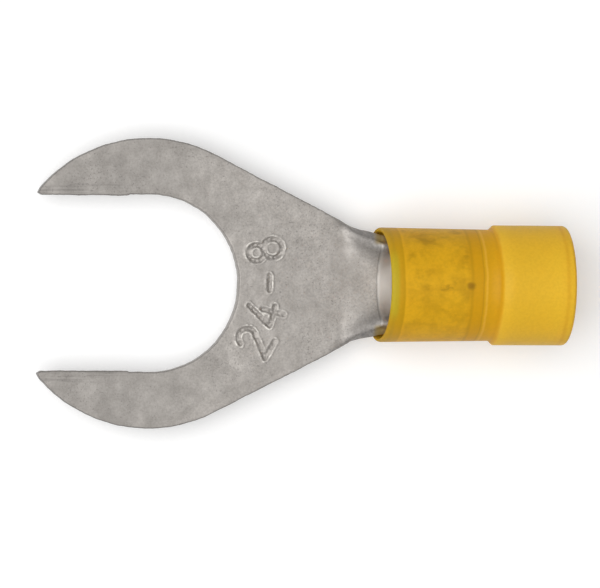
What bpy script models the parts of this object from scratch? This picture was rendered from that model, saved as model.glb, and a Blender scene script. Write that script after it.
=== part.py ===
"""Insulated fork terminal: a tinned copper fork with a rolled wire barrel, in a yellow sleeve.

The fork, its neck and the barrel are one piece of sheet. It is cut flat, and then the
neck and the barrel are rolled up about the wire's axis until their long edges meet.
A moulded sleeve is pushed over the barrel and widens behind it for the wire's insulation.

+X runs from the fork to the wire end, +Y is across the fork, +Z is the side of the seam.
Lengths are metres. In the flat sheet x runs the same way and s is the way across.
"""

import math

import bmesh
import bpy
from mathutils import Matrix, Vector

MM = 0.001

# Fork, cut from flat sheet
sheet_thickness = 1.0 * MM
slot_width = 10.5 * MM
fork_width = 17.2 * MM
tip_width = 0.24 * MM

# Neck between the fork and the barrel
slot_centre_to_barrel = 14.6 * MM
neck_width = 6.36 * MM
waist_radius = 1.5 * MM

# Barrel, rolled from the same sheet
barrel_bore = 4.0 * MM
barrel_length = 4.0 * MM
seam_gap = 0.08 * MM
front_corner = 0.12 * MM
rear_corner = 0.45 * MM

# Forming of the neck
curl_length = 2.65 * MM
curl_to_barrel = 0.45 * MM
tongue_lift = 0.6 * MM
lift_length = 0.95 * MM

# Sleeve over the barrel
sleeve_clearance = 0.05 * MM
sleeve_wall = 0.35 * MM
sleeve_draft = 0.09 * MM
sleeve_overhang = 1.2 * MM
lip_thickness = 0.13 * MM
lip_rounding = 0.3 * MM
ridge_height = 0.2 * MM
ridge_length = 0.8 * MM

# Bell behind the barrel, around the wire's insulation
bell_bore = 6.4 * MM
bell_wall = 0.37 * MM
funnel_length = 0.97 * MM
bell_step = 0.26 * MM
bell_length = 4.35 * MM
bell_edge_rounding = 0.12 * MM

# Facets
rib_columns = 14
round_facets = 48
edge_facets = 4

tin_colour = (0.43, 0.40, 0.36, 1.0)
yellow_colour = (0.72, 0.38, 0.03, 1.0)

# Sizes that follow from those above
slot_radius = slot_width / 2
fork_radius = fork_width / 2
neck_half = neck_width / 2
barrel_mid_radius = barrel_bore / 2 + sheet_thickness / 2
barrel_outer_radius = barrel_bore / 2 + sheet_thickness
seam_s = math.pi * barrel_mid_radius - seam_gap / 2
barrel_front_x = slot_centre_to_barrel
barrel_rear_x = barrel_front_x + barrel_length
waist_x = barrel_front_x - waist_radius
waist_s = neck_half + waist_radius
tip_x = -math.sqrt(fork_radius**2 - (slot_radius + tip_width) ** 2)

sleeve_front_x = barrel_front_x - sleeve_overhang
sleeve_bore_radius = barrel_outer_radius + sleeve_clearance
sleeve_front_radius = sleeve_bore_radius + sleeve_wall
sleeve_rear_radius = sleeve_front_radius - sleeve_draft
ridge_start_x = barrel_rear_x + 2 * sleeve_clearance
ridge_x = ridge_start_x + ridge_length
ridge_radius = sleeve_bore_radius - ridge_height
bell_bore_radius = bell_bore / 2
bell_radius = bell_bore_radius + bell_wall
bell_bore_x = ridge_x + funnel_length
bell_front_x = bell_bore_x
bell_rear_x = bell_front_x + bell_length

axis_height = max(bell_radius, sleeve_front_radius)
slot_centre_x = -(tip_x + bell_rear_x) / 2


def flank_angle():
    """Slope of the straight flank that touches both the fork's circle and the waist's arc."""
    distance = math.hypot(waist_x, waist_s)
    return math.asin((fork_radius + waist_radius) / distance) - math.atan2(waist_s, waist_x)


def ease(t):
    """Smooth rise from 0 to 1 with level ends."""
    t = min(max(t, 0.0), 1.0)
    return t * t * (3 - 2 * t)


def curvature(x):
    """Curvature across the sheet: none on the fork, the barrel's own where the curl ends."""
    start = barrel_front_x - curl_to_barrel - curl_length
    return ease((x - start) / curl_length) / barrel_mid_radius


def lift(x):
    """Height of the sheet's middle above the bottom of the rolled barrel, and its slope."""
    t = min(max((barrel_front_x - x) / lift_length, 0.0), 1.0)
    slope = -tongue_lift * 6 * t * (1 - t) / lift_length
    return tongue_lift * ease(t), slope


def formed(x, s, h):
    """Place a point of the flat sheet, h above its middle surface, where forming takes it.

    A strip across the sheet becomes an arc about a centre above it. The sheet keeps its
    thickness where the neck slopes down to the barrel.
    """
    bend = curvature(x)
    height, slope = lift(x)
    angle = bend * s
    away = h * math.sqrt(1 + (slope * math.cos(angle)) ** 2)
    if bend < 1e-6:
        return Vector((x, s, height - barrel_mid_radius + away))
    radius = 1 / bend
    across = (radius - away) * math.sin(angle)
    up = height - barrel_mid_radius + radius - (radius - away) * math.cos(angle)
    return Vector((x, across, up))


def between(start, end, count):
    """Numbers from start to end in equal steps, without start itself."""
    return [start + (end - start) * i / count for i in range(1, count + 1)]


def fork_ribs():
    """Ribs across one tine, from the slot to the outer circle, tip first."""
    ribs = []
    tip_angle = math.acos(tip_x / fork_radius)
    for angle in [tip_angle] + between(tip_angle, math.pi / 2, 10):
        x = fork_radius * math.cos(angle)
        ribs.append(((x, slot_radius), (x, fork_radius * math.sin(angle))))
    return ribs


def shoulder_ribs():
    """Ribs from the round end of the slot, then from the middle line, to the flank."""
    flank = flank_angle()
    touch = math.pi / 2 - flank
    waist_start = (waist_x - waist_radius * math.sin(flank), waist_s - waist_radius * math.cos(flank))
    touch_point = (fork_radius * math.cos(touch), fork_radius * math.sin(touch))
    outer = [(fork_radius * math.cos(a), fork_radius * math.sin(a)) for a in between(math.pi / 2, touch, 5)]
    for part in between(0.0, 1.0, 9):
        outer.append(tuple(Vector(touch_point).lerp(Vector(waist_start), part)))
    slot_steps = 10
    inner = [(slot_radius * math.cos(a), slot_radius * math.sin(a)) for a in between(math.pi / 2, 0.0, slot_steps)]
    inner[-1] = (slot_radius, 0.0)
    inner += [(x, 0.0) for x in between(slot_radius, waist_start[0], len(outer) - slot_steps)]
    return list(zip(inner, outer))


def waist_ribs():
    """Ribs across the neck, up to where the barrel's front edge turns out."""
    ribs = []
    for angle in between(-flank_angle(), math.pi / 2, 12):
        x = waist_x + waist_radius * math.sin(angle)
        ribs.append(((x, 0.0), (x, waist_s - waist_radius * math.cos(angle))))
    return ribs


def barrel_ribs():
    """Ribs across the barrel, fanned along its front edge and then square to its axis."""
    corner_s = seam_s - front_corner
    outer = [(barrel_front_x, s) for s in between(waist_s, corner_s, 5)]
    outer.append((barrel_front_x + front_corner, seam_s))
    outer.append((barrel_rear_x - rear_corner, seam_s))
    outer.append((barrel_rear_x, seam_s - rear_corner))
    fan_end = barrel_front_x + barrel_length / 4
    inner = [(x, 0.0) for x in between(barrel_front_x, fan_end, 6)]
    inner.append((barrel_rear_x - rear_corner, 0.0))
    inner.append((barrel_rear_x, 0.0))
    return list(zip(inner, outer))


def material(name, colour, roughness, metallic, transmission=0.0):
    """One Principled material."""
    made = bpy.data.materials.new(name)
    made.use_nodes = True
    shader = made.node_tree.nodes["Principled BSDF"]
    shader.inputs["Base Color"].default_value = colour
    shader.inputs["Roughness"].default_value = roughness
    shader.inputs["Metallic"].default_value = metallic
    shader.inputs["Transmission Weight"].default_value = transmission
    return made


def add_object(name, bm, place, parent, surface):
    """Turn a finished bmesh into an object with one material."""
    bmesh.ops.recalc_face_normals(bm, faces=bm.faces)
    mesh = bpy.data.meshes.new(name)
    bm.to_mesh(mesh)
    bm.free()
    mesh.shade_smooth()
    mesh.set_sharp_from_angle(angle=math.radians(35))
    mesh.materials.append(surface)
    made = bpy.data.objects.new(name, mesh)
    bpy.context.collection.objects.link(made)
    made.parent = parent
    made.location = place
    return made


def terminal_body(parent):
    """Fork, neck and barrel: cut as a flat blank, given its thickness, then rolled."""
    bm = bmesh.new()
    ribs = fork_ribs() + shoulder_ribs() + waist_ribs() + barrel_ribs()
    rows = []
    for inner, outer in ribs:
        row = []
        for column in range(rib_columns + 1):
            flat = Vector(inner).lerp(Vector(outer), column / rib_columns)
            row.append(bm.verts.new((flat.x, flat.y, 0.0)))
        rows.append(row)
    for row, after in zip(rows, rows[1:]):
        for column in range(rib_columns):
            bm.faces.new((row[column], after[column], after[column + 1], row[column + 1]))
    whole = bm.verts[:] + bm.edges[:] + bm.faces[:]
    bmesh.ops.mirror(bm, geom=whole, matrix=Matrix.Identity(4), merge_dist=1e-7, axis="Y")
    bmesh.ops.recalc_face_normals(bm, faces=bm.faces)
    grown = bmesh.ops.extrude_face_region(bm, geom=bm.faces[:])["geom"]
    top = [item for item in grown if isinstance(item, bmesh.types.BMVert)]
    bmesh.ops.translate(bm, verts=top, vec=(0.0, 0.0, sheet_thickness))
    for vert in bm.verts:
        x, s, h = vert.co
        vert.co = formed(x, s, h - sheet_thickness / 2)
    bmesh.ops.dissolve_limit(bm, angle_limit=math.radians(0.05), verts=bm.verts, edges=bm.edges)
    surface = material("tinned_copper", tin_colour, 0.38, 1.0)
    return add_object("terminal_body", bm, (slot_centre_x, 0.0, axis_height), parent, surface)


def arc(centre, radius_x, radius_r, start, end):
    """Points of a quarter round in the sleeve's profile, start and end in degrees."""
    points = []
    for angle in [start] + between(start, end, edge_facets):
        turn = math.radians(angle)
        points.append((centre[0] + radius_x * math.cos(turn), centre[1] + radius_r * math.sin(turn)))
    return points


def neck_reach():
    """Largest distance of the neck's lower corner from the barrel's axis inside the sleeve."""
    furthest = 0.0
    for x in [sleeve_front_x] + between(sleeve_front_x, barrel_front_x, 12):
        edge_s = waist_s - math.sqrt(max(waist_radius**2 - (x - waist_x) ** 2, 0.0))
        corner = formed(x, edge_s, -sheet_thickness / 2)
        furthest = max(furthest, math.hypot(corner.y, corner.z))
    return furthest


def sleeve_profile():
    """Closed outline of the sleeve's wall as (x, radius), from the mouth along the outside."""
    mouth_radius = max(neck_reach(), barrel_outer_radius) + sleeve_clearance
    mouth_outer = max(mouth_radius + lip_thickness, sleeve_front_radius)
    lip_centre = (sleeve_front_x + lip_rounding, mouth_radius)
    rear_centre = (bell_rear_x - bell_edge_rounding, bell_radius - bell_edge_rounding)
    step_height = bell_radius - sleeve_rear_radius
    points = arc(lip_centre, lip_rounding, mouth_outer - mouth_radius, 180, 90)
    points.append((bell_front_x - bell_step, bell_radius - step_height))
    points.append((bell_front_x, bell_radius))
    points += arc(rear_centre, bell_edge_rounding, bell_edge_rounding, 90, 0)
    points.append((bell_rear_x, bell_bore_radius + bell_edge_rounding / 2))
    points.append((bell_rear_x - bell_edge_rounding / 2, bell_bore_radius))
    points.append((bell_bore_x, bell_bore_radius))
    points.append((ridge_x, ridge_radius))
    points.append((ridge_start_x, sleeve_bore_radius))
    points.append((barrel_front_x, sleeve_bore_radius))
    return points


def insulating_sleeve(parent):
    """Sleeve turned about the barrel's axis from its wall's outline."""
    bm = bmesh.new()
    ring = [bm.verts.new((x - sleeve_front_x, 0.0, radius)) for x, radius in sleeve_profile()]
    edges = [bm.edges.new((a, b)) for a, b in zip(ring, ring[1:] + ring[:1])]
    bmesh.ops.spin(
        bm,
        geom=ring + edges,
        cent=(0.0, 0.0, 0.0),
        axis=(1.0, 0.0, 0.0),
        angle=math.tau,
        steps=round_facets,
        use_merge=True,
    )
    surface = material("yellow_nylon", yellow_colour, 0.28, 0.0, 0.5)
    place = (slot_centre_x + sleeve_front_x, 0.0, axis_height)
    return add_object("insulating_sleeve", bm, place, parent, surface)


def build():
    """Clear the scene and make the terminal."""
    for old in list(bpy.data.objects):
        bpy.data.objects.remove(old, do_unlink=True)
    root = bpy.data.objects.new("fork_terminal", None)
    bpy.context.collection.objects.link(root)
    terminal_body(root)
    insulating_sleeve(root)


build()
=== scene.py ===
"""Looks of an insulated fork terminal: tinned copper fork and barrel, in a yellow nylon sleeve.

Shapes are worked out in millimetres on the flat blank, with x along the terminal from the
centre of the fork's round outline and s across it, and then formed to their place in the frame.
"""

import math

import bmesh
import bpy
import numpy as np
from mathutils import Matrix, Vector


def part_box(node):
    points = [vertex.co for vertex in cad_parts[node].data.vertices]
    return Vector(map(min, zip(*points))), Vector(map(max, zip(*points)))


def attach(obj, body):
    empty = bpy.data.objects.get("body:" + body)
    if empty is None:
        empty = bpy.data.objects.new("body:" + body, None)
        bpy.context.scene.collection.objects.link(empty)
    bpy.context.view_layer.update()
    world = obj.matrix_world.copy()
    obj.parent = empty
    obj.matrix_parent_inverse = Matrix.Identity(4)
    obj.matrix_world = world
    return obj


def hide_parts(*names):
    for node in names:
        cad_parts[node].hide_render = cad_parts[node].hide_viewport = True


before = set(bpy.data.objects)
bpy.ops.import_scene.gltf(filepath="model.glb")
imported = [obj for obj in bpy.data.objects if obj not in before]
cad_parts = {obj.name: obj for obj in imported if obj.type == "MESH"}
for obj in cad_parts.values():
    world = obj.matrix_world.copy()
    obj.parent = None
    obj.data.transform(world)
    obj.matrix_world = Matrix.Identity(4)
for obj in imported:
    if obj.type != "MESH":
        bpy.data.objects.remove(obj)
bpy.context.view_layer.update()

MM = 0.001

body_low, body_high = [np.array(corner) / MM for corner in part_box("terminal_body")]
sleeve_low, sleeve_high = [np.array(corner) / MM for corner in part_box("insulating_sleeve")]

# Fork, in millimetres
sheet = 1.0
slot_radius = 5.25
slot_shift = 0.13
slot_step = 0.07
slot_step_x = -1.1
slot_step_length = 0.25
tip_width = 0.24
fork_radius = body_high[1]
tip_x = -math.sqrt(fork_radius**2 - (slot_radius + tip_width) ** 2)
slot_centre_x = body_low[0] - tip_x
edge_inset = 0.09

# Neck and barrel
barrel_rear_x = body_high[0] - slot_centre_x
barrel_length = 4.0
barrel_front_x = barrel_rear_x - barrel_length
barrel_mid_radius = 2.5
neck_half = 3.18
waist_radius = 1.5
waist_x = barrel_front_x - waist_radius
waist_s = neck_half + waist_radius
waist_turn = math.radians(30)
pinch_x = 12.3
pinch_reach = 0.9
pinch_depth = 0.08
seam_gap = 0.08
seam_s = math.pi * barrel_mid_radius - seam_gap / 2
rear_corner = 0.45
curl_length = 2.65
curl_end_x = barrel_front_x - 0.45
tongue_lift = 0.6
crease_x = 13.7
crease_height = 0.045
crease_width = 0.1
side_lead = 0.15
floor_start_x = 14.55
floor_end_x = 15.7
table_before = 0.6
table_after = 0.1
table_rows = 600

# Edges left by the press; each step of the cut wall is a step back and a height
roll_depth = 0.13
burr_depth = 0.05
wall_steps = ((0.0, 0.16), (0.012, 0.02), (0.02, -0.2))
# How dark the cut wall is painted: partly its own tone, partly painted shade; less on the slot's
# wall
cut_strength = 1.3
slot_shade = 0.45

# Worn upper edge of the neck
soft_reach = 0.55
worn_depth = 0.8
worn_start_x = 10.6
worn_length = 1.8
worn_end_x = barrel_front_x + 1.2
worn_rest = 0.1

# Painted shade beside the neck's edges and round the patch behind the crease, which is painted
# lighter
neck_shade_share = 0.75
neck_shade_reach = 1.7
neck_shade_length = 2.0
corner_shade_share = 0.9
patch_half = 3.2
patch_length = 0.97
patch_fade = 0.35
crease_fade = 0.1

# Unevenness of the cut and of the sheet, as waves of a height, a length and a seed
waver_x = ((0.007, 1.3, 11), (0.005, 0.4, 12))
waver_s = ((0.007, 1.3, 13), (0.005, 0.4, 14))
swell = ((0.01, 3.2, 15), (0.003, 0.9, 16))

# Sleeve
axis_height = (sleeve_low[2] + sleeve_high[2]) / 2
mouth_x = sleeve_low[0] - slot_centre_x
bell_rear_x = sleeve_high[0] - slot_centre_x
bell_radius = (sleeve_high[2] - sleeve_low[2]) / 2
bell_length = 4.35
bell_x = bell_rear_x - bell_length
bell_step = 0.26
bell_bore_radius = 3.2
bell_edge = 0.22
bore_radius = 3.05
mouth_bore_radius = 3.22
front_radius = 3.4
rear_radius = 3.31
lip_length = 0.3
mouth_slant = 0.3
slant_length = 2.0
ridge_start_x = barrel_rear_x + 0.1
ridge_x = ridge_start_x + 0.8
ridge_radius = 2.85
sleeve_facets = 192

# Blank's cut line between the fork's grid and the neck's grid
cut_x = 9.3

# How finely the blank is divided, as steps along its edges and across it
tine_steps = [40, 6, 7]
bend_steps = [14, 30, 8, 138, 24, 22, 14]
straight_steps = 34
waist_steps = [26, 22]
front_steps = 21
seam_steps = 43
corner_steps = 8
round_steps = 5
top_steps = 76
low_steps = 14
tip_steps = 8

# Distances in which border points become one, and an angle and a bend too small to matter
body_merge = 0.002
sleeve_merge = 0.0005
hair_angle = 1e-9
hair_bend = 1e-6


def ease(t):
    """Smooth rise from 0 to 1 as t goes from 0 to 1: 3 t squared minus 2 t cubed."""
    t = np.clip(t, 0.0, 1.0)
    return t * t * (3.0 - 2.0 * t)


def spread(stops, counts):
    """Numbers through the stops, with so many equal steps between each two of them."""
    runs = [np.linspace(a, b, n, endpoint=False) for a, b, n in zip(stops, stops[1:], counts)]
    return np.append(np.concatenate(runs), stops[-1])


def ripple(x, y, length, seed, waves=7):
    """Smooth noise of about -1 to 1: a mean of plane waves of one length in seeded directions."""
    chance = np.random.default_rng(seed)
    total = 0.0
    for turn, phase, stretch in chance.uniform((0, 0, 0.7), (math.tau, math.tau, 1.4), (waves, 3)):
        along = (x * math.cos(turn) + y * math.sin(turn)) / (length * stretch)
        total = total + np.sin(along * math.tau + phase)
    return total * math.sqrt(2.0 / waves)


def uneven(x, y, waves):
    """Sum of ripples, each given by its height, its length and its seed."""
    return sum(height * ripple(x, y, length, seed) for height, length, seed in waves)


def flank_angle():
    """Slope of the line that touches the fork's circle and the waist's arc, like a crossed belt."""
    distance = math.hypot(waist_x, waist_s)
    return math.asin((fork_radius + waist_radius) / distance) - math.atan2(waist_s, waist_x)


def drop_table():
    """Heights of the sheet's sides and of its floor along x, from the fork's level to the barrel's.

    The sides come down behind the crease as an S curve, 3 t squared minus 2 t cubed. The
    floor has a small rise at the crease, stays level behind it and comes down further in.
    """
    x = np.linspace(crease_x - table_before, floor_end_x + table_after, table_rows)
    side = tongue_lift * ease((barrel_front_x - x) / (barrel_front_x - crease_x + side_lead))
    floor = tongue_lift + crease_height * ease((x - crease_x) / crease_width)
    floor = floor * ease((floor_end_x - x) / (floor_end_x - floor_start_x))
    return x, side, floor - side


def formed(x, s, h, drop=drop_table()):
    """Place of a point of the flat blank, h above its middle surface, once it is rolled.

    Each line across the blank bends to an arc with its centre above. The arc's curvature
    rises smoothly along x from none to the barrel's. The arc's bottom, by the square of
    its angle's cosine, takes the floor's height, and its sides take theirs.
    """
    bend = hair_bend + ease((x - curl_end_x + curl_length) / curl_length) / barrel_mid_radius
    angle = bend * s
    floor = np.clip(np.cos(angle), 0.0, 1.0) ** 2
    height = np.interp(x, drop[0], drop[1]) + np.interp(x, drop[0], drop[2]) * floor
    across = np.sin(angle) / bend - h * np.sin(angle)
    up = 2.0 * np.sin(angle / 2.0) ** 2 / bend + h * np.cos(angle)
    return np.stack([x + slot_centre_x, across, axis_height - barrel_mid_radius + height + up], -1)


def grid_faces(rows, columns, first):
    """Quads of a grid whose points are numbered row by row, from a first number on."""
    index = first + np.arange(rows * columns).reshape(rows, columns)
    quads = [index[:-1, :-1], index[1:, :-1], index[1:, 1:], index[:-1, 1:]]
    return np.stack(quads, -1).reshape(-1, 4)


class Patchwork:
    """Grids of points that are joined along their shared borders into one closed mesh."""

    def __init__(self):
        self.points = []
        self.cut = []
        self.lip = []
        self.faces = []
        self.count = 0

    def add(self, points, cut=0.0, lip=0.0):
        """Add a grid of points, an array of rows, columns and the three coordinates.

        The cut value says how far a point belongs to the edge that the press cut, and on the
        neck how much painted shade it gets; the lip value how far it belongs to the raised rim of a
        stamped figure.
        """
        rows, columns = points.shape[:2]
        self.cut.append(np.broadcast_to(cut, (rows, columns)).ravel())
        self.lip.append(np.broadcast_to(lip, (rows, columns)).ravel())
        self.points.append(points.reshape(-1, 3))
        self.faces.append(grid_faces(rows, columns, self.count))
        self.count += rows * columns

    def make(self, name, merge):
        """One object in metres, with doubled border points merged and faces turned outward."""
        mesh = bpy.data.meshes.new(name)
        mesh.from_pydata(np.concatenate(self.points) * MM, [], np.concatenate(self.faces))
        # The cut attribute holds the cut wall's dark and the painted shade on the neck
        for label, values in (("cut", self.cut), ("lip", self.lip)):
            layer = mesh.attributes.new(label, "FLOAT", "POINT")
            layer.data.foreach_set("value", np.concatenate(values))
        bm = bmesh.new()
        bm.from_mesh(mesh)
        bmesh.ops.remove_doubles(bm, verts=bm.verts, dist=merge * MM)
        bmesh.ops.recalc_face_normals(bm, faces=bm.faces)
        bm.to_mesh(mesh)
        bm.free()
        mesh.shade_smooth()
        made = bpy.data.objects.new(name, mesh)
        bpy.context.collection.objects.link(made)
        return made


def between(start, end, share):
    """Points on the straight lines from each start to each end, at the given shares of the way."""
    return start[:, None] + (end - start)[:, None] * share[None, :, None]


def turned(angle):
    """Unit vectors at the given angles from +x towards +s."""
    return np.stack([np.cos(angle), np.sin(angle)], -1)


def slot_wall(x):
    """Half-width of the slot's straight part.

    It narrows by a small smooth step where a second punch cut it.
    """
    return slot_radius - slot_step * ease((slot_step_x - x) / slot_step_length)


def strip_outline():
    """Inset edges of the fork, station by station from one tip round the slot to the other.

    Each station gives the inset slot wall and the inset outer edge, with their outward
    directions. Along the tines the stations lie square across. Round the slot's end they
    are rays that stop at the circle, at the flank or at the cut line, and they are closest
    where the figures are stamped.
    """
    touch = math.pi / 2 - flank_angle()
    radius = fork_radius - edge_inset
    cut_s = (radius - cut_x * math.cos(touch)) / math.sin(touch)
    cut_angle = math.atan2(cut_s, cut_x)

    stops = [tip_x + edge_inset, slot_step_x - slot_step_length, slot_step_x, 0.0]
    x = spread(stops, tine_steps)[:-1]
    wall = np.stack([x, slot_wall(x) + edge_inset], -1)
    rim = np.stack([x, np.sqrt(radius**2 - x**2)], -1)
    wall[0] = rim[0] = (wall[0] + rim[0]) / 2
    tine = (wall, np.tile([0.0, -1.0], (len(x), 1)), rim, rim / radius)

    side = math.pi / 2
    stops = [side, touch, cut_angle, stamp_start, -cut_angle, stamp_end, -touch, -side]
    angle = spread(stops, bend_steps)
    ray = turned(angle)
    reach = np.where(abs(angle) > touch, radius, radius / np.cos(abs(angle) - touch))
    flank = turned(np.sign(angle) * touch)
    edge = ray * reach[:, None]
    inner = abs(angle) < cut_angle + hair_angle
    edge[inner] = np.stack([np.full(inner.sum(), cut_x), cut_x * np.tan(angle[inner])], -1)
    edge_out = np.where((abs(angle) > touch)[:, None], ray, flank)
    slot_end = ray * (slot_radius + edge_inset) + np.array([slot_shift, 0.0])
    bend = (slot_end, -ray, edge, edge_out)

    flip = np.array([1.0, -1.0])
    far = [part[::-1] * flip for part in tine]
    stations = [np.concatenate(parts) for parts in zip(tine, bend, far)]
    columns = np.tan(angle[inner]) / math.tan(cut_angle)
    return stations, len(x), inner, columns, cut_s


def neck_outline(cut_s):
    """Inset edge of the neck and barrel from the cut line to the rear, its ribs' middles and wear.

    The edge runs straight along the flank, round the waist, out along the barrel's front
    edge, round its corner, along the seam and round the rear corner. Ahead of the waist it
    is drawn in by a squared cosine of the length.
    """
    flank = flank_angle()
    bow = waist_radius + edge_inset
    angle = spread([-flank, waist_turn, math.pi / 2], waist_steps)
    waist = np.array([waist_x, waist_s]) + bow * np.stack([np.sin(angle), -np.cos(angle)], -1)
    waist_out = np.stack([-np.sin(angle), np.cos(angle)], -1)
    share = spread([0.0, 1.0], [straight_steps])[:-1, None]
    straight = np.array([cut_x, cut_s]) * (1 - share) + waist[0] * share
    straight_out = np.tile(waist_out[0], (len(straight), 1))
    for run, out in ((straight, straight_out), (waist, waist_out)):
        turn = np.clip((run[:, 0] - pinch_x) / pinch_reach, -1.0, 1.0) * math.pi / 2
        run[:, 1] -= pinch_depth * np.cos(turn) ** 2
        out[:, 0] -= out[:, 1] * pinch_depth * np.sin(2 * turn) * math.pi / 2 / pinch_reach
        out /= np.linalg.norm(out, axis=1, keepdims=True)

    front_x = barrel_front_x + edge_inset
    top_s = seam_s - edge_inset
    front_s = np.linspace(waist_s, top_s, front_steps + 1)[1:]
    front = np.stack([np.full(len(front_s), front_x), front_s], -1)
    front_out = np.tile([-1.0, 0.0], (len(front), 1))
    fan = turned(np.radians([150.0, 120.0, 90.0]))
    fan_at = np.tile(front[-1], (len(fan), 1))
    seam_x = np.linspace(front_x, barrel_rear_x - rear_corner, seam_steps + 1)[1:]
    seam = np.stack([seam_x, np.full(len(seam_x), top_s)], -1)
    seam_out = np.tile([0.0, 1.0], (len(seam), 1))
    corner_out = turned(np.linspace(math.pi / 2, 0.0, corner_steps + 1)[1:])
    corner_centre = np.array([barrel_rear_x, seam_s]) - rear_corner
    corner = corner_centre + (rear_corner - edge_inset) * corner_out

    edge = np.concatenate([straight, waist, front, fan_at, seam, corner])
    out = np.concatenate([straight_out, waist_out, front_out, fan, seam_out, corner_out])
    fan_end = barrel_front_x + barrel_length / 4
    rear_x = barrel_rear_x - edge_inset
    front_mid = np.linspace(front_x, fan_end, len(front) + 1)[1:]
    rear_mid = np.linspace(fan_end, rear_x, len(seam) + len(corner) + 1)[1:]
    fan_mid = np.repeat(fan_end, len(fan))
    middle = np.concatenate([straight[:, 0], waist[:, 0], front_mid, fan_mid, rear_mid])
    softness = ease((edge[:, 0] - worn_start_x) / worn_length)
    to_seam = ease((top_s - edge[:, 1]) / (top_s - waist_s))
    softness = softness * (worn_rest + (1 - worn_rest) * to_seam)
    softness = softness * ease(worn_end_x - edge[:, 0])
    return edge, out, middle, softness


def edge_profile():
    """Section of a sheared edge as steps outward from the inset line and heights.

    The top is drawn in over a quarter ellipse, the wall falls with a slight step back
    below its burnished part, and the bottom ends in a small round.
    """
    turn = np.linspace(math.pi / 2, 0.0, round_steps + 1)
    top = np.stack([edge_inset * np.cos(turn), sheet / 2 - roll_depth * (1 - np.sin(turn))], -1)
    wall = np.array([[edge_inset - back, height] for back, height in wall_steps])
    low = np.stack([wall[-1, 0] * np.cos(turn), -sheet / 2 + burr_depth * (1 - np.sin(turn))], -1)
    return np.concatenate([top, wall, low[::-1]])


# Stamped figures, as strokes in a box one unit high, with x to the right and y up
figure_height = 2.15
figure_strokes = {
    "2": [
        ("arc", 0.0, 0.24, 0.25, 160, -35),
        ("line", 0.205, 0.10, -0.26, -0.48),
        ("line", -0.26, -0.48, 0.28, -0.48),
    ],
    "4": [
        ("line", 0.12, 0.5, -0.28, -0.2),
        ("line", -0.28, -0.2, 0.28, -0.2),
        ("line", 0.12, 0.12, 0.12, -0.5),
    ],
    "-": [("line", -0.2, 0.0, 0.2, 0.0)],
    "8": [("arc", 0.0, 0.25, 0.22, 0, 360), ("arc", 0.0, -0.22, 0.26, 0, 360)],
}
stamp_radius = 7.2
stamp_places = (("2", -28.5), ("4", -14.5), ("-", 0.5), ("8", 16.0))
stamp_start = math.radians(25)
stamp_end = math.radians(-36)
stamp_waves = ((0.35, 0.7, 21), (0.25, 0.3, 22))
shallowest, deepest = 0.3, 1.7
groove_half = 0.1
groove_flat = 0.5
groove_depth = 0.07
lip_height = 0.03
lip_place = 2.1
lip_half = 0.55


def softened(edge_distance, softness):
    """Share of the sheet's thickness left near a worn edge: a quarter ellipse over its reach."""
    rest = 1.0 - np.clip(edge_distance / soft_reach, 0.0, 1.0)
    return 1.0 - softness * worn_depth * (1.0 - np.sqrt(1.0 - rest**2))


def stroke_distance(stroke, x, y):
    """Distance of points from a stroke: to the nearest point of a line, or of a round arc."""
    if stroke[0] == "line":
        _, ax, ay, bx, by = stroke
        dx, dy = bx - ax, by - ay
        share = np.clip(((x - ax) * dx + (y - ay) * dy) / (dx * dx + dy * dy), 0, 1)
        return np.hypot(x - ax - share * dx, y - ay - share * dy)
    _, cx, cy, radius, start, end = stroke
    middle = math.radians((start + end) / 2)
    half = math.radians(abs(start - end) / 2)
    turn = (np.arctan2(y - cy, x - cx) - middle + math.pi) % math.tau - math.pi
    turn = np.clip(turn, -half, half) + middle
    return np.hypot(x - cx - radius * np.cos(turn), y - cy - radius * np.sin(turn))


def stamp_relief(x, s):
    """Depth of the stamped figures: soft grooves with a raised lip, by distance from their strokes.

    The figures stand on an arc round the slot with their tops towards it. A wave makes
    them deeper here and shallower there.
    """
    distance = np.full(x.shape, stamp_radius)
    for figure, degrees in stamp_places:
        angle = math.radians(degrees)
        cx, cs = stamp_radius * math.cos(angle), stamp_radius * math.sin(angle)
        up = -((x - cx) * math.cos(angle) + (s - cs) * math.sin(angle))
        right = (x - cx) * -math.sin(angle) + (s - cs) * math.cos(angle)
        for stroke in figure_strokes[figure]:
            near = stroke_distance(stroke, right / figure_height, up / figure_height)
            distance = np.minimum(distance, near * figure_height)
    press = np.clip(1.0 + uneven(x, s, stamp_waves), shallowest, deepest)
    groove = 1.0 - ease((distance - groove_half * groove_flat) / groove_half)
    lip = np.exp(-(((distance - lip_place * groove_half) / (lip_half * groove_half)) ** 2))
    return (lip_height * lip - groove_depth * groove) * press


def surface_point(x, s, h):
    """Formed place of a blank's point after the small unevenness of cut and sheet is added."""
    place = formed(x + uneven(x, s, waver_x), s + uneven(x, s, waver_s), h + uneven(x, s, swell))
    return np.clip(place, body_low, body_high)


def neck_shade(x, s, edge_distance):
    """How much painted shade the neck's tin gets.

    It gets painted shade beside its edges, by two smooth steps, and outside a half
    ellipse that stands behind the crease, in the corners of the sleeve's mouth.
    """
    painted_shade = neck_shade_share * ease(1.0 - edge_distance / neck_shade_reach)
    painted_shade = painted_shade * ease((x - worn_start_x) / neck_shade_length)
    patch_s = patch_half * np.sqrt(np.clip(1.0 - ((x - crease_x) / patch_length) ** 2, 0.0, 1.0))
    corner = corner_shade_share * ease((abs(s) - patch_s) / patch_fade)
    corner = corner * ease((x - crease_x) / crease_fade)
    corner = corner * ease((barrel_front_x + crease_fade - x) / (2 * crease_fade))
    return np.maximum(painted_shade, corner)


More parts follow.
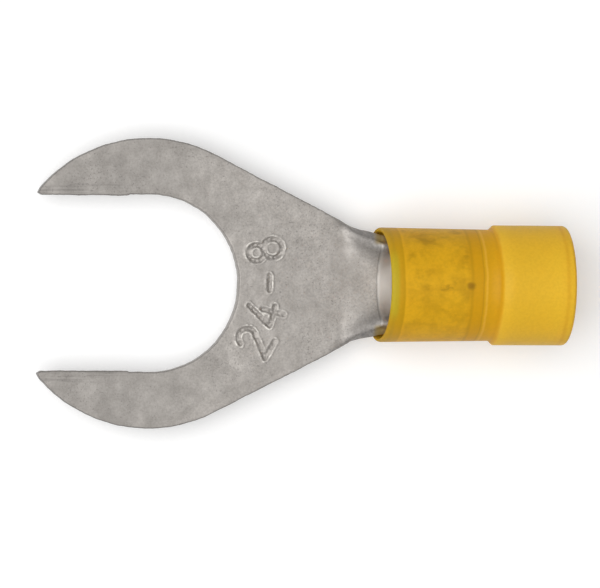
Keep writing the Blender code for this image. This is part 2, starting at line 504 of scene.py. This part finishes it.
def make_body():
    """Fork, neck and barrel: two skins of the blank, joined by its edge's profile all round.

    The fork's skins are straight lines from the slot's wall to the outer edge. The neck's
    are ribs that fan out from its middle line to both of its edges.
    """
    work = Patchwork()
    (wall, wall_out, rim, rim_out), tine, inner, columns, cut_s = strip_outline()
    edge, edge_out, middle, softness = neck_outline(cut_s)
    profile = edge_profile()
    down = np.linspace(0.0, 1.0, len(profile))
    cut_share = np.clip(cut_strength * np.sin(math.pi * down), 0.0, 1.0)

    across_top = spread([0.0, 1.0], [top_steps])
    across_low = spread([0.0, 1.0], [low_steps])
    rib_edge = np.abs(columns)[None, :]
    rib_x = middle[:, None] + (edge[:, :1] - middle[:, None]) * rib_edge
    rib_s = edge[:, 1:] * columns[None, :]
    rib_distance = edge_inset + np.hypot(edge[:, :1] - rib_x, edge[:, 1:] - abs(rib_s))
    rib_height = sheet / 2 * softened(rib_distance, softness[:, None])
    # Painted shade on the neck's sides and the mouth's corners, stored with the cut's dark
    painted_shade = neck_shade(rib_x, rib_s, rib_distance)
    for side, across in ((1, across_top), (-1, across_low)):
        flat = between(wall, rim, across)
        x, s = flat[..., 0], flat[..., 1]
        relief = stamp_relief(x, s) if side > 0 else np.zeros_like(x)
        work.add(surface_point(x, s, side * sheet / 2 + relief), 0.0, relief / lip_height)
        relief = stamp_relief(rib_x, rib_s) if side > 0 else np.zeros_like(rib_x)
        height = rib_height if side > 0 else -sheet / 2
        work.add(surface_point(rib_x, rib_s, height + relief), painted_shade, relief / lip_height)

    def add_rim(at, out, softness=0.0, shade=1.0):
        """Carry the edge's profile along a run of inset points; shade is the cut's dullness."""
        flat = at[:, None] + out[:, None] * profile[None, :, :1]
        worn = np.broadcast_to(softness, len(at))[:, None]
        thin = softened(edge_inset - profile[None, :, 0], worn)
        level = profile[None, :, 1]
        height = np.where(level > 0.0, level * thin, level)
        # Painted shade on the neck's worn edges, beside the cut's own dark
        cut = np.maximum(shade * cut_share, neck_shade_share * worn)
        work.add(surface_point(flat[..., 0], flat[..., 1], height), cut)

    def add_tip(at, start, end):
        """Turn the edge's profile about a tip's inset point, between two directions in degrees."""
        turn = np.radians(np.linspace(start, end, tip_steps + 1))
        add_rim(np.tile(at, (len(turn), 1)), turned(turn))

    add_rim(wall, wall_out, shade=slot_shade)
    flip = np.array([1.0, -1.0])
    # The fork's own edge stops where the cut line to the neck begins
    start = tine + int(np.argmax(inner)) + 1
    end = tine + len(inner) - int(np.argmax(inner[::-1])) - 1
    add_rim(rim[:start], rim_out[:start])
    add_rim(rim[end:], rim_out[end:])
    add_rim(edge, edge_out, softness)
    add_rim(edge * flip, edge_out * flip, softness)
    rear = np.stack([rib_x[-1], rib_s[-1]], -1)
    add_rim(rear, np.tile([1.0, 0.0], (len(rear), 1)), softness[-1])
    tip_turn = math.degrees(math.atan2(rim_out[0][1], rim_out[0][0]))
    add_tip(rim[0], tip_turn, 270.0)
    add_tip(rim[-1], -tip_turn, -270.0)
    return work.make("terminal_body_formed", body_merge)


def lines(start, stops):
    """Points on straight lines from a start through stops: each a length, a radius and steps."""
    runs = []
    for x, radius, steps in stops:
        runs.append(np.linspace(start, (x, radius), steps + 1)[1:])
        start = (x, radius)
    return np.concatenate(runs)


def sleeve_profile():
    """Wall of the sleeve as points of length and radius, from the mouth along the outside and back.

    The mouth has a quarter-ellipse lip, the outside tapers to a step and the bell, the
    bell's rim is rounded, and the bore has a low ridge behind the barrel and a cone.
    """
    turn = np.linspace(math.pi, math.pi / 2, 9)
    lip = np.stack([lip_length * (1 + np.cos(turn)) + mouth_x,
                    mouth_bore_radius + (front_radius - mouth_bore_radius) * np.sin(turn)], -1)
    turn = np.linspace(math.pi / 2, 0.0, 7)
    rim = np.stack([bell_rear_x - bell_edge * (1 - np.cos(turn)),
                    bell_radius - bell_edge * (1 - np.sin(turn))], -1)
    outside = lines(lip[-1], [
        (bell_x - bell_step, rear_radius, 10),
        (bell_x, bell_radius, 4),
        (*rim[0], 6),
    ])
    inside = lines(rim[-1], [
        (bell_rear_x, bell_bore_radius + bell_edge / 2, 2),
        (bell_rear_x - bell_edge / 2, bell_bore_radius, 1),
        (bell_x, bell_bore_radius, 6),
        (ridge_x, ridge_radius, 4),
        (ridge_start_x, bore_radius, 4),
        (barrel_front_x, bore_radius, 6),
        (mouth_x, mouth_bore_radius, 4),
    ])
    return np.concatenate([lip, outside, rim[1:], inside])[:-1]


def make_sleeve():
    """Sleeve: its wall's section turned about the barrel's axis.

    The mouth's upper side stands back by the square root of the sine of the turn, which
    fades out along the sleeve.
    """
    section = sleeve_profile()
    turn = np.arange(sleeve_facets) * math.tau / sleeve_facets
    x = np.broadcast_to(section[:, :1], (len(section), sleeve_facets))
    radius = section[:, 1:]
    fade = ease((mouth_x + slant_length - x) / slant_length)
    stand_back = mouth_slant * np.sqrt(np.clip(np.sin(turn), 0.0, 1.0)) * fade
    across, up = radius * np.cos(turn), radius * np.sin(turn)
    points = np.stack([x + stand_back + slot_centre_x, across, axis_height + up], -1)
    points = np.concatenate([points, points[:1]])
    points = np.concatenate([points, points[:, :1]], axis=1)
    work = Patchwork()
    work.add(points)
    return work.make("insulating_sleeve_moulded", sleeve_merge)


class Look:
    """A node material in the making: one Principled shader, its colour so far, and helpers."""

    def __init__(self, name, colour):
        self.material = bpy.data.materials.new(name)
        self.material.use_nodes = True
        self.nodes = self.material.node_tree.nodes
        self.links = self.material.node_tree.links
        self.shader = self.nodes["Principled BSDF"]
        self.place = self.add("ShaderNodeTexCoord").outputs["Object"]
        self.colour = (*colour, 1)

    def add(self, kind, **settings):
        """One node, with its settings."""
        made = self.nodes.new(kind)
        for name, value in settings.items():
            setattr(made, name, value)
        return made

    def feed(self, socket, value):
        """Give a socket a plain value, or link another node's output to it."""
        if isinstance(value, bpy.types.NodeSocket):
            self.links.new(value, socket)
        else:
            socket.default_value = value

    def set(self, name, value):
        """Give one input of the shader its value."""
        self.feed(self.shader.inputs[name], value)

    def noise(self, scale, detail=2.0, rough=0.5, stretch=None):
        """Noise of 0 to 1 in object space; the scale is in waves per metre."""
        made = self.add("ShaderNodeTexNoise")
        made.inputs["Scale"].default_value = scale
        made.inputs["Detail"].default_value = detail
        made.inputs["Roughness"].default_value = rough
        place = self.place
        if stretch:
            squeeze = self.add("ShaderNodeVectorMath", operation="MULTIPLY")
            self.feed(squeeze.inputs[0], place)
            squeeze.inputs[1].default_value = stretch
            place = squeeze.outputs[0]
        self.feed(made.inputs["Vector"], place)
        return made.outputs["Fac"]

    def math(self, operation, first, second=0.0):
        """One sum, product or other operation of two numbers."""
        made = self.add("ShaderNodeMath", operation=operation)
        self.feed(made.inputs[0], first)
        self.feed(made.inputs[1], second)
        return made.outputs[0]

    def times(self, first, second):
        """Product of two numbers."""
        return self.math("MULTIPLY", first, second)

    def fit(self, value, low, high, start=0.0, end=1.0):
        """Smooth step of a value: start below low, end above high."""
        made = self.add("ShaderNodeMapRange", interpolation_type="SMOOTHSTEP")
        self.feed(made.inputs["Value"], value)
        ends = (("From Min", low), ("From Max", high), ("To Min", start), ("To Max", end))
        for name, number in ends:
            self.feed(made.inputs[name], number)
        return made.outputs["Result"]

    def tint(self, share, colour):
        """Blend the colour so far towards another one, by a share."""
        made = self.add("ShaderNodeMix", data_type="RGBA")
        self.feed(made.inputs[0], share)
        self.feed(made.inputs[6], self.colour)
        self.feed(made.inputs[7], (*colour, 1))
        self.colour = made.outputs[2]

    def axis(self, name):
        """One coordinate in millimetres."""
        made = self.add("ShaderNodeSeparateXYZ")
        self.feed(made.inputs[0], self.place)
        return self.times(made.outputs[name], 1.0 / MM)

    def bump(self, height, strength, distance):
        """Fine relief under the shader's normal; the distance is in metres."""
        made = self.add("ShaderNodeBump")
        made.inputs["Strength"].default_value = strength
        made.inputs["Distance"].default_value = distance
        self.feed(made.inputs["Height"], height)
        self.set("Normal", made.outputs["Normal"])


# Where the crease stands, in millimetres in the frame: behind it the tin is clean, and painted
# lighter as lit in the sleeve's mouth
crease_frame_x = crease_x + slot_centre_x
crease_line_x = crease_frame_x - 0.02

# Colours of the tin, named for what they show
tin_dark = (0.420, 0.396, 0.371)
tin_light = (0.560, 0.528, 0.494)
# Lighter tone on the neck towards the crease
tin_before_crease = (0.66, 0.63, 0.59)
# Painted shade along the crease
tin_crease_shade = (0.16, 0.16, 0.15)
tin_grain = (0.30, 0.28, 0.26)
tin_speck = (0.16, 0.145, 0.14)
tin_scratch = (0.22, 0.205, 0.195)
# Clean tin behind the crease, painted lighter as lit
tin_clean_lit = (0.70, 0.67, 0.635)
# Painted highlight on the figures' raised lips
tin_lip_glint = (0.86, 0.83, 0.78)
# Painted shade in the figures' grooves
tin_groove_shade = (0.16, 0.15, 0.14)
# Dark of the cut edges, partly their own tone, partly painted shade
tin_cut_and_shade = (0.17, 0.16, 0.155)
# Painted shade, olive with the sleeve's yellow reflected in it
tin_sleeve_shade = (0.27, 0.185, 0.035)

# Noises of the tin: waves per metre, detail, roughness and a stretch of each axis
tin_mottle = (420.0, 4.0, 0.6)
tin_grains = (7500.0, 3.0, 0.75)
tin_clusters = (330.0, 2.0)
tin_specks = (9500.0, 1.0)
tin_scratches = (7000.0, 2.0, 0.6, (0.03, 1.0, 1.0))
tin_lip_glint_noise = (3500.0, 2.0)
tin_cut_wear = (4000.0, 3.0, 0.6, (1.0, 1.0, 0.35))
tin_gloss = (900.0, 4.0)
tin_pits = (5200.0, 3.0)

# Steps of the tin's layers: a low and a high value, and the share below and above them
# Painted shade and highlight: the tin is darker towards the tines' tips and lighter towards the
# neck
tine_shade_along = (-13.0, -3.0, -0.5, 0.06)
tone_all = (0.0, 1.0)
before_crease_along = (crease_frame_x - 1.3, crease_frame_x - 0.2, 0.0, 0.35)
clean_lit_along = (crease_frame_x, crease_frame_x + 0.15)
crease_shade_share = (0.01, 0.06, 0.45, 0.0)
grain_share = (0.3, 0.7, 0.0, 0.52)
cluster_share = (0.42, 0.62, 0.0, 0.07)
speck_share = (0.66, 0.78, 0.0, 0.42)
scratch_across = (0.45, 0.75, 1.0, 0.0)
scratch_along = (-11.5, -9.5, 1.0, 0.0)
scratch_share = (0.45, 0.65, 0.0, 0.5)
lip_share = (0.25, 1.0)
lip_glint_share = (0.4, 0.6, 0.2, 1.0)
lip_glint_strength = 0.75
groove_shade_share = (-2.3, -0.6, 0.08, 0.0)
cut_wear_share = (0.3, 0.7, 0.45, 0.8)
sleeve_shade_across = (2.3, 2.6, 0.0, 0.75)
sleeve_shade_along = (crease_frame_x - 0.45, crease_frame_x - 0.15)
tin_metallic = 0.8
tin_roughness = (0.3, 0.7, 0.6, 0.74)
cut_polish = 0.12
pit_strength = 0.35
pit_depth = 0.00001


def tinned_copper():
    """Dull electro-tinned sheet: mottle, grain, clustered specks, scratches, dark cut edges, and
    painted shade and highlights.
    """
    look = Look("tinned_copper", tin_dark)
    along = look.axis("X")
    # Random mottle, with painted shade towards the tines' tips and a painted highlight towards the
    # neck
    tone = look.math("ADD", look.noise(*tin_mottle), look.fit(along, *tine_shade_along))
    look.tint(look.fit(tone, *tone_all), tin_light)
    # The neck is made lighter towards the crease
    look.tint(look.fit(along, *before_crease_along), tin_before_crease)
    clean_lit = look.fit(along, *clean_lit_along)
    # Painted shade: a thin dark line along the crease
    off_crease = look.math("ABSOLUTE", look.math("SUBTRACT", along, crease_line_x))
    look.tint(look.fit(off_crease, *crease_shade_share), tin_crease_shade)
    look.tint(look.fit(look.noise(*tin_grains), *grain_share), tin_grain)

    cluster = look.fit(look.noise(*tin_clusters), *cluster_share)
    specks = look.math("ADD", look.noise(*tin_specks), cluster)
    look.tint(look.fit(specks, *speck_share), tin_speck)
    from_wall = look.math("SUBTRACT", look.math("ABSOLUTE", look.axis("Y")), slot_radius)
    beside = look.times(look.fit(from_wall, *scratch_across), look.fit(along, *scratch_along))
    scratches = look.fit(look.noise(*tin_scratches), *scratch_share)
    look.tint(look.times(beside, scratches), tin_scratch)
    # Behind the crease: clean tin without specks, and painted light in the sleeve's mouth, which
    # the sleeve shades
    look.tint(clean_lit, tin_clean_lit)

    edge = look.add("ShaderNodeAttribute", attribute_name="cut").outputs["Fac"]
    lip = look.add("ShaderNodeAttribute", attribute_name="lip").outputs["Fac"]
    raised = look.fit(lip, *lip_share)
    # Painted highlight: broken glints on the raised lips of the stamped figures
    lip_glint = look.fit(look.noise(*tin_lip_glint_noise), *lip_glint_share)
    look.tint(look.times(look.times(raised, lip_glint), lip_glint_strength), tin_lip_glint)
    # Painted shade in the grooves of the stamped figures
    look.tint(look.fit(lip, *groove_shade_share), tin_groove_shade)
    # Dark cut edges: partly the cut wall's own tone, partly painted shade; the same attribute
    # carries the painted shade on the neck
    cut_wear = look.fit(look.noise(*tin_cut_wear), *cut_wear_share)
    look.tint(look.times(edge, cut_wear), tin_cut_and_shade)
    # Painted shade and painted yellow reflection on the neck's sides just before the sleeve's mouth
    sleeve_shade = look.fit(look.math("ABSOLUTE", look.axis("Y")), *sleeve_shade_across)
    look.tint(look.times(sleeve_shade, look.fit(along, *sleeve_shade_along)), tin_sleeve_shade)

    look.set("Base Color", look.colour)
    look.set("Metallic", tin_metallic)
    rough = look.fit(look.noise(*tin_gloss), *tin_roughness)
    look.set("Roughness", look.math("SUBTRACT", rough, look.times(edge, cut_polish)))
    look.bump(look.noise(*tin_pits), pit_strength, pit_depth)
    return look.material


# Bands along the sleeve, painted with the shade of what lies under the wall and one glint on the
# ridge's crest: start in millimetres, colour
sleeve_shade_bands = [
    (13.3, (0.70, 0.42, 0.018)),
    (14.15, (0.78, 0.45, 0.014)),
    (14.45, (0.74, 0.42, 0.012)),
    (14.57, (0.99, 0.58, 0.020)),
    (18.35, (0.97, 0.56, 0.018)),
    (18.55, (0.76, 0.42, 0.012)),
    (18.70, (0.85, 0.47, 0.012)),
    (19.14, (0.84, 0.46, 0.012)),
    (19.22, (0.72, 0.39, 0.012)),
    (19.30, (0.87, 0.50, 0.016)),
    # Painted glint on the ridge's crest
    (19.42, (1.00, 0.60, 0.050)),
    (19.54, (0.88, 0.49, 0.014)),
    (20.20, (0.83, 0.45, 0.012)),
    (20.48, (1.00, 0.65, 0.045)),
    (24.0, (1.00, 0.64, 0.045)),
    (24.3, (0.92, 0.55, 0.035)),
    (24.5, (1.00, 0.64, 0.045)),
]
band_fade = 0.2

# Colours that lie over the bands
nylon_cloud = (0.60, 0.32, 0.010)
nylon_blotch = (0.52, 0.27, 0.010)
# Painted light on the mouth's thin lip
nylon_lit_lip = (0.70, 0.54, 0.03)
nylon_seam = (0.42, 0.21, 0.010)
nylon_spot = (0.30, 0.14, 0.010)
nylon_haze = (0.50, 0.26, 0.010)

# Noises of the nylon: waves per metre, detail, roughness and a stretch of each axis
nylon_wander = (700.0,)
nylon_clouds = (1300.0, 4.0, 0.7)
nylon_blotches = (900.0, 3.0, 0.6, (0.7, 1.0, 1.0))
nylon_seam_wear = (2600.0, 4.0, 0.7, (0.4, 1.0, 0.2))
nylon_spot_edge = (2500.0,)
nylon_fine = (6000.0, 2.0, 0.6)

# Steps of the nylon's layers: a low and a high value, and the share below and above them
wander_reach = 0.12
barrel_from = (14.4, 14.8)
barrel_to = (18.3, 18.7, 1.0, 0.0)
cloud_share = (0.38, 0.66, 0.0, 0.34)
blotch_share = (0.46, 0.74, 0.0, 0.6)
blotch_across = (-1.5, 2.5, 0.7, 1.3)
upper_side = (axis_height, axis_height + 1.0)
lit_lip_height = (axis_height + 2.5, axis_height + 3.2)
lit_lip_along = (14.0, 14.3, 1.0, 0.0)
seam_from = (15.2, 16.2)
seam_to = (18.1, 18.5, 1.0, 0.0)
seam_side = 0.12
seam_across = (0.08, 0.3, 1.0, 0.0)
seam_wear_share = (0.47, 0.66)
seam_strength = 0.6
spot_place = (18.45, -0.02)
spot_waver = 0.3
spot_share = (0.22, 0.5, 0.7, 0.0)
haze_share = (0.3, 0.7, 0.0, 0.12)
nylon_roughness = 0.42
nylon_ior = 1.33
nylon_shine = 0.04
nylon_clearness = 0.38


def yellow_nylon():
    """Translucent yellow nylon: bands of painted shade and a painted glint, blotches and seam of
    the barrel under it, a lip painted paler as lit, faint haze.
    """
    look = Look("yellow_nylon", sleeve_shade_bands[0][1])
    along = look.math("SUBTRACT", look.axis("X"), slot_centre_x)
    wander = look.times(look.math("SUBTRACT", look.noise(*nylon_wander), 0.5), wander_reach)
    place = look.math("ADD", along, wander)
    # Bands of painted shade and one painted glint along the sleeve
    for (last, _), (start, tint) in zip(sleeve_shade_bands, sleeve_shade_bands[1:]):
        look.tint(look.fit(place, max(last, start - band_fade), start), tint)

    over_barrel = look.times(look.fit(along, *barrel_from), look.fit(along, *barrel_to))
    cloud = look.fit(look.noise(*nylon_clouds), *cloud_share)
    look.tint(look.times(cloud, over_barrel), nylon_cloud)
    blotch = look.fit(look.noise(*nylon_blotches), *blotch_share)
    blotch = look.times(blotch, look.fit(look.axis("Y"), *blotch_across))
    look.tint(look.times(blotch, over_barrel), nylon_blotch)
    upper = look.fit(look.axis("Z"), *upper_side)
    # Painted light: the mouth's thin lip is paler and greener on its upper side, where lit metal
    # shows behind it
    lit_lip = look.fit(look.axis("Z"), *lit_lip_height)
    look.tint(look.times(lit_lip, look.fit(along, *lit_lip_along)), nylon_lit_lip)

    seam_run = look.times(look.fit(along, *seam_from), look.fit(along, *seam_to))
    off_seam = look.math("ABSOLUTE", look.math("ADD", look.axis("Y"), seam_side))
    seam = look.times(look.fit(off_seam, *seam_across), look.times(seam_run, upper))
    seam_wear = look.fit(look.noise(*nylon_seam_wear), *seam_wear_share)
    look.tint(look.times(seam, look.times(seam_wear, seam_strength)), nylon_seam)
    spot_x = look.math("SUBTRACT", along, spot_place[0])
    spot_y = look.math("ADD", look.axis("Y"), -spot_place[1])
    squares = look.math("ADD", look.math("POWER", spot_x, 2.0), look.math("POWER", spot_y, 2.0))
    spot = look.math("SQRT", squares)
    spot = look.math("ADD", spot, look.times(look.noise(*nylon_spot_edge), spot_waver))
    look.tint(look.times(look.fit(spot, *spot_share), upper), nylon_spot)
    look.tint(look.fit(look.noise(*nylon_fine), *haze_share), nylon_haze)

    look.set("Base Color", look.colour)
    look.set("Roughness", nylon_roughness)
    look.set("IOR", nylon_ior)
    look.set("Specular IOR Level", nylon_shine)
    look.set("Transmission Weight", nylon_clearness)
    return look.material


def dress(piece, material, replaced):
    """Give a piece its material and its place among the bodies."""
    piece.data.materials.clear()
    piece.data.materials.append(material)
    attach(piece, "root")
    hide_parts(replaced)


dress(make_body(), tinned_copper(), "terminal_body")
dress(make_sleeve(), yellow_nylon(), "insulating_sleeve")


# View: a long lens square over the fork, leaning back from the wire end
view_lean = math.radians(10.0)
view_tilt = math.radians(-0.8)
view_roll = math.radians(0.4)
picture_width = 35.5
target_x = 8.8
target_y = -0.57
lens = 304.0
sensor = 36.0
nearest = 0.01

# Lamp, floor and surroundings, in metres
lamp_place = (-0.20, -0.01, 0.43)
lamp_size = 0.5
lamp_power = 2.5
floor_half = 1.5
floor_depth = 0.00002
floor_grey = (0.8, 0.8, 0.8)
floor_roughness = 0.9
floor_glow = 0.25
surroundings_strength = 0.28
white = (1, 1, 1, 1)


def make_camera():
    """Camera that looks down on the flat of the fork, tipped towards its open end."""
    right = Vector((math.cos(view_lean), 0.0, math.sin(view_lean)))
    back = Vector((-math.sin(view_lean), 0.0, math.cos(view_lean)))
    up = Vector((0.0, 1.0, 0.0))
    back, up = (back * math.cos(view_tilt) - up * math.sin(view_tilt),
                up * math.cos(view_tilt) + back * math.sin(view_tilt))
    right, up = (right * math.cos(view_roll) + up * math.sin(view_roll),
                 up * math.cos(view_roll) - right * math.sin(view_roll))
    target = Vector((target_x + slot_centre_x, target_y, axis_height)) * MM
    data = bpy.data.cameras.new("camera")
    data.lens = lens
    data.sensor_width = sensor
    data.clip_start = nearest
    camera = bpy.data.objects.new("camera", data)
    bpy.context.collection.objects.link(camera)
    turn = Matrix((right, up, back)).transposed().to_4x4()
    place = target + back * picture_width * MM * lens / sensor
    camera.matrix_world = Matrix.Translation(place) @ turn
    bpy.context.scene.camera = camera


def make_lamp():
    """Square softbox, turned to the terminal."""
    data = bpy.data.lights.new("lamp", "AREA")
    data.shape = "SQUARE"
    data.size = lamp_size
    data.energy = lamp_power
    lamp = bpy.data.objects.new("lamp", data)
    bpy.context.collection.objects.link(lamp)
    lamp.location = lamp_place
    lamp.rotation_euler = (-Vector(lamp_place)).to_track_quat("-Z", "Y").to_euler()


def make_floor():
    """Plain white floor that keeps the shadow; seen or mirrored it is lifted to white."""
    mesh = bpy.data.meshes.new("floor")
    corners = [(x * floor_half, y * floor_half, 0) for x, y in ((-1, -1), (1, -1), (1, 1), (-1, 1))]
    mesh.from_pydata(corners, [], [(0, 1, 2, 3)])
    floor = bpy.data.objects.new("floor", mesh)
    bpy.context.collection.objects.link(floor)
    floor.location.z = -floor_depth
    look = Look("floor_white", floor_grey)
    look.set("Base Color", look.colour)
    look.set("Roughness", floor_roughness)
    look.set("Specular IOR Level", 0.0)
    path = look.add("ShaderNodeLightPath")
    seen = look.math("MAXIMUM", path.outputs["Is Camera Ray"], path.outputs["Is Glossy Ray"])
    seen = look.math("MAXIMUM", seen, path.outputs["Is Transmission Ray"])
    look.set("Emission Color", white)
    look.set("Emission Strength", look.times(seen, floor_glow))
    mesh.materials.append(look.material)


def make_world():
    """Even white surroundings."""
    world = bpy.data.worlds.new("studio")
    world.use_nodes = True
    light = world.node_tree.nodes["Background"]
    light.inputs["Color"].default_value = white
    light.inputs["Strength"].default_value = surroundings_strength
    bpy.context.scene.world = world


make_camera()
make_lamp()
make_floor()
make_world()
bpy.context.scene.view_settings.view_transform = "Standard"
